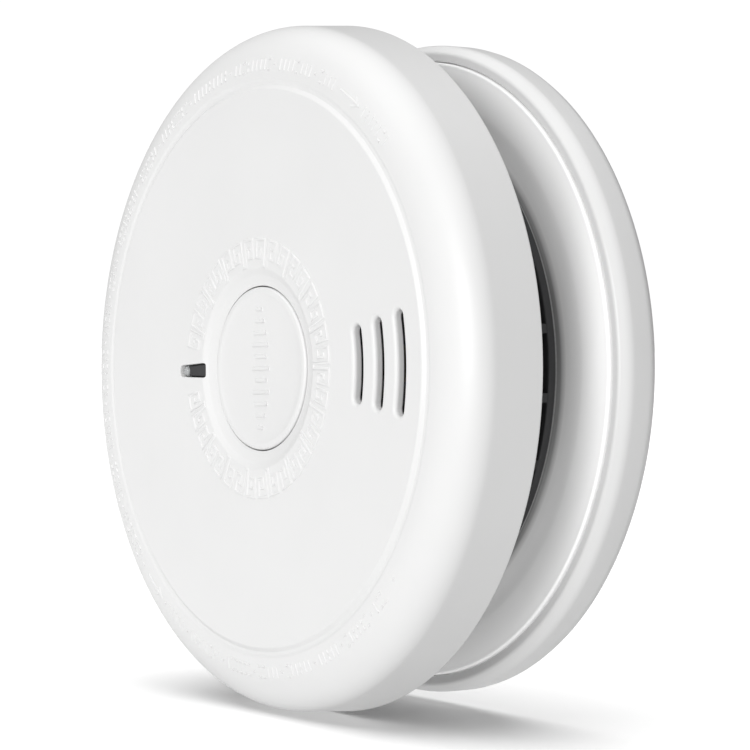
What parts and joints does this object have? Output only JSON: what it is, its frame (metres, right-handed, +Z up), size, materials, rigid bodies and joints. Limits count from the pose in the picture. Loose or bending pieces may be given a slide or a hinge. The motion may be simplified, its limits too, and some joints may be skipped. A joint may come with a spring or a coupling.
{
  "type": "smoke detector",
  "caption": "Round smoke detector: a shallow cover and a mounting plate either side of a recessed inlet cage, with a central test button, a light window and a slotted sounder grille.",
  "frame": {"origin": "centre of the mounting plate's rear face, which lies against the wall", "axes": "+Y points into the wall along the detector's axis, so the face looks along -Y; +Z is up with the light window on -X and the sounder grille on +X"},
  "size_m": [0.12, 0.042, 0.12],
  "materials": {
    "white_plastic": "satin white ABS, finely textured by the mould",
    "black_plastic": "matt black ABS",
    "dark_mesh": "fine blackened steel mesh",
    "circuit_board": "green solder mask on glass-fibre laminate",
    "plated_steel": "bright zinc or nickel plating",
    "spring_steel": "drawn spring wire",
    "brass": "rolled brass sheet",
    "ceramic": "silvered piezo ceramic",
    "clear_plastic": "polished clear acrylic",
    "dark_lens": "dark epoxy lens",
    "red_lens": "red epoxy",
    "battery_jacket": "plain printed metal jacket",
    "foam": "closed-cell foam",
    "ferrite": "unpolished ferrite",
    "capacitor_sleeve": "dark shrink sleeve",
    "red_sleeve": "red wire insulation",
    "black_sleeve": "black wire insulation"
  },
  "bodies": {
    "mount": {"mounting_plate": "white_plastic"},
    "head": {"base_housing": "white_plastic", "front_cover": "white_plastic", "battery_case": "battery_jacket", "battery_terminal_positive": "plated_steel", "battery_terminal_negative": "plated_steel", "battery_snap_positive": "plated_steel", "battery_snap_negative": "plated_steel", "battery_contact_plate": "black_plastic", "battery_lead_red": "red_sleeve", "battery_lead_black": "black_sleeve", "inlet_cage": "black_plastic", "insect_screen": "dark_mesh", "rear_cover": "black_plastic", "circuit_board": "circuit_board", "chamber_base": "black_plastic", "chamber_cap": "black_plastic", "infrared_emitter": "clear_plastic", "photodiode": "dark_lens", "microcontroller": "black_plastic", "capacitor": "capacitor_sleeve", "inductor": "ferrite", "switch_body": "black_plastic", "status_led": "red_lens", "light_pipe": "clear_plastic", "light_pipe_holder": "black_plastic", "sounder_housing": "black_plastic", "sounder_gasket": "foam", "piezo_disc": "brass", "piezo_ceramic": "ceramic", "sounder_back": "black_plastic", "sounder_lead_red": "red_sleeve", "sounder_lead_black": "black_sleeve", "button_spring": "spring_steel", "assembly_screw_1": "plated_steel", "assembly_screw_2": "plated_steel", "assembly_screw_3": "plated_steel", "board_screw_1": "plated_steel", "board_screw_2": "plated_steel", "board_screw_3": "plated_steel"},
    "button": {"test_button": "white_plastic"},
    "plunger": {"switch_plunger": "black_plastic"}
  },
  "joints": [
    {"name": "head_twist", "type": "hinge", "parent": "mount", "child": "head", "pos_m": [0, 0, 0], "axis": [0, -1, 0], "range_deg": [0, 17]},
    {"name": "button_press", "type": "slide", "parent": "head", "child": "button", "axis": [0, 1, 0], "range_m": [0, 0.0008], "stiffness_N_per_m": 1200, "springref_m": -0.0008, "deforming": ["button_spring"]},
    {"name": "plunger_press", "type": "slide", "parent": "head", "child": "plunger", "axis": [0, 1, 0], "range_m": [0, 0.0008]}
  ],
  "couplings": [
    {"joint": "plunger_press", "follows": "button_press", "ratio": 1}
  ]
}
